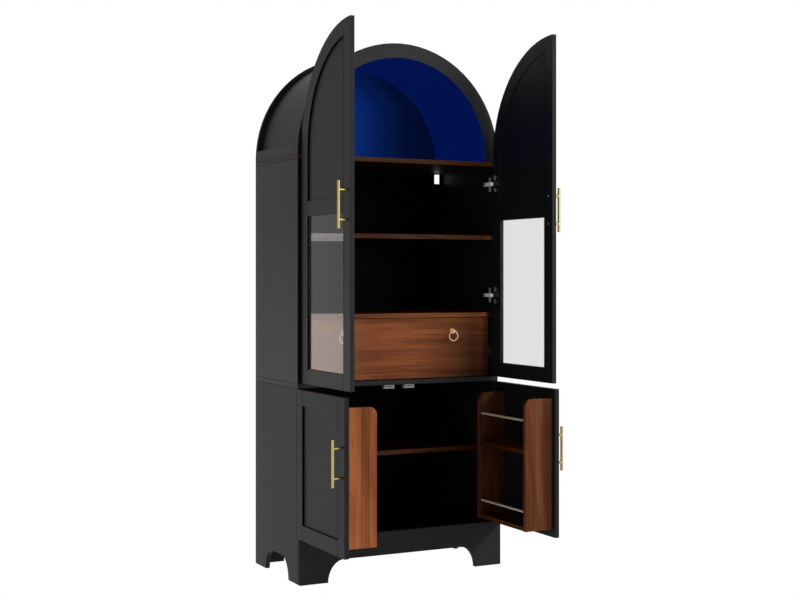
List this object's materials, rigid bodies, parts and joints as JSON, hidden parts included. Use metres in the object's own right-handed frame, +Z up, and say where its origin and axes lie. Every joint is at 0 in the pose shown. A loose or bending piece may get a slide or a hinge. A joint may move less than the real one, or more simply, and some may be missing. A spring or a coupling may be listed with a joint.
{
  "type": "tall buffet cabinet",
  "caption": "Black arched bar cabinet with open framed glass doors, a walnut drawer with ring pulls, lower doors with walnut door racks, brass handles and a blue-lit arch.",
  "frame": {"origin": "on the floor, at the middle of the box round the cabinet with its doors standing open", "axes": "+Z up, the front faces -Y, +X to the right of someone facing the front"},
  "size_m": [0.878, 0.811, 1.892],
  "materials": {
    "black_paint": "satin black paint on board",
    "walnut": "satin walnut",
    "brass": "brushed brass",
    "steel": "nickel plated",
    "pale_metal": "satin champagne",
    "glass": "clear",
    "light_strip": "diffuser lit blue"
  },
  "bodies": {
    "cabinet": {"base_side_left": "black_paint", "base_side_right": "black_paint", "front_apron": "black_paint", "rear_apron": "black_paint", "bottom_board": "black_paint", "base_back": "black_paint", "middle_board": "black_paint", "hutch_side_left": "black_paint", "hutch_side_right": "black_paint", "hutch_back": "black_paint", "arch_ring": "black_paint", "arch_back": "black_paint", "arch_vault": "black_paint", "arch_lining": "black_paint", "vault_rail_left": "black_paint", "vault_rail_right": "black_paint", "base_shelf": "walnut", "hutch_shelf": "walnut", "drawer_top": "walnut", "crown_board": "walnut", "magnetic_catch_left": "steel", "magnetic_catch_right": "steel", "drawer_runner_left": "steel", "drawer_runner_right": "steel", "led_strip": "light_strip", "upper_left_bottom_hinge_arm": "steel", "upper_left_top_hinge_arm": "steel", "lower_left_bottom_hinge_arm": "steel", "lower_left_top_hinge_arm": "steel", "upper_right_bottom_hinge_arm": "steel", "upper_right_top_hinge_arm": "steel", "lower_right_bottom_hinge_arm": "steel", "lower_right_top_hinge_arm": "steel"},
    "drawer": {"drawer_front": "walnut", "drawer_box": "walnut", "drawer_bottom": "walnut", "pull_boss_left": "brass", "pull_boss_right": "brass"},
    "ring_pull_left": {"pull_ring_left": "brass"},
    "ring_pull_right": {"pull_ring_right": "brass"},
    "upper_door_left": {"upper_left_frame": "black_paint", "upper_left_panel": "black_paint", "upper_left_glass": "glass", "upper_left_handle": "brass"},
    "lower_door_left": {"lower_left_frame": "black_paint", "lower_left_panel": "black_paint", "lower_left_handle": "brass", "lower_left_rack": "walnut", "lower_left_rack_low_rail": "pale_metal", "lower_left_rack_high_rail": "pale_metal"},
    "upper_door_right": {"upper_right_frame": "black_paint", "upper_right_panel": "black_paint", "upper_right_glass": "glass", "upper_right_handle": "brass"},
    "lower_door_right": {"lower_right_frame": "black_paint", "lower_right_panel": "black_paint", "lower_right_handle": "brass", "lower_right_rack": "walnut", "lower_right_rack_low_rail": "pale_metal", "lower_right_rack_high_rail": "pale_metal"}
  },
  "joints": [
    {"name": "drawer_slide", "type": "slide", "parent": "cabinet", "child": "drawer", "axis": [0, -1, 0], "range_m": [0, 0.26]},
    {"name": "ring_pull_left_swing", "type": "hinge", "parent": "drawer", "child": "ring_pull_left", "pos_m": [-0.218, 0.0105, 0.861], "axis": [-1, 0, 0], "range_deg": [-14, 90]},
    {"name": "ring_pull_right_swing", "type": "hinge", "parent": "drawer", "child": "ring_pull_right", "pos_m": [0.218, 0.0105, 0.861], "axis": [-1, 0, 0], "range_deg": [-14, 90]},
    {"name": "upper_door_left_hinge", "type": "hinge", "parent": "cabinet", "child": "upper_door_left", "pos_m": [-0.3895, -0.0175, 1.196], "axis": [0, 0, -1], "range_deg": [-90, 15]},
    {"name": "lower_door_left_hinge", "type": "hinge", "parent": "cabinet", "child": "lower_door_left", "pos_m": [-0.394, -0.0055, 0.4175], "axis": [0, 0, -1], "range_deg": [-90, 15]},
    {"name": "upper_door_right_hinge", "type": "hinge", "parent": "cabinet", "child": "upper_door_right", "pos_m": [0.3895, -0.0175, 1.196], "axis": [0, 0, 1], "range_deg": [-90, 15]},
    {"name": "lower_door_right_hinge", "type": "hinge", "parent": "cabinet", "child": "lower_door_right", "pos_m": [0.394, -0.0055, 0.4175], "axis": [0, 0, 1], "range_deg": [-90, 15]}
  ]
}
